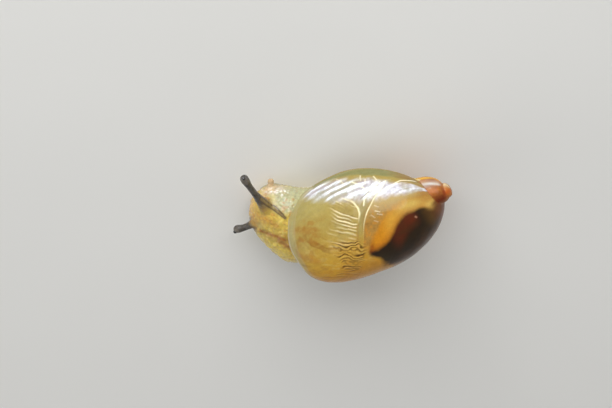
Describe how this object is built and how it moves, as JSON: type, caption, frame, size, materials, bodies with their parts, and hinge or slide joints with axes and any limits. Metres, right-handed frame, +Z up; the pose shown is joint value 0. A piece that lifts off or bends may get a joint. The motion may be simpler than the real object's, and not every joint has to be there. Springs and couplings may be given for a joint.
{
  "type": "amber snail",
  "caption": "Life-size still model of a crawling amber snail, with a long glossy shell of few whorls, a short neck, eyed feelers and a flat sole.",
  "frame": {"origin": "on the sole, under the middle of the foot", "axes": "forward (the head) is -Y, the animal's right side is -X, up is +Z; the sole lies in the plane z = 0"},
  "size_m": [0.0083, 0.0146, 0.0063],
  "materials": {
    "shell_wall": "glossy, thin and see-through in life",
    "flesh": "wet skin",
    "feeler_skin": "wet skin",
    "eye": "glossy"
  },
  "bodies": {
    "root": {"shell": "shell_wall", "tail": "flesh", "foot": "flesh", "neck": "flesh", "head": "flesh", "tentacle_upper_right": "feeler_skin", "tentacle_upper_left": "feeler_skin", "tentacle_lower_right": "feeler_skin", "tentacle_lower_left": "feeler_skin", "eye_right": "eye", "eye_left": "eye"}
  },
  "joints": []
}
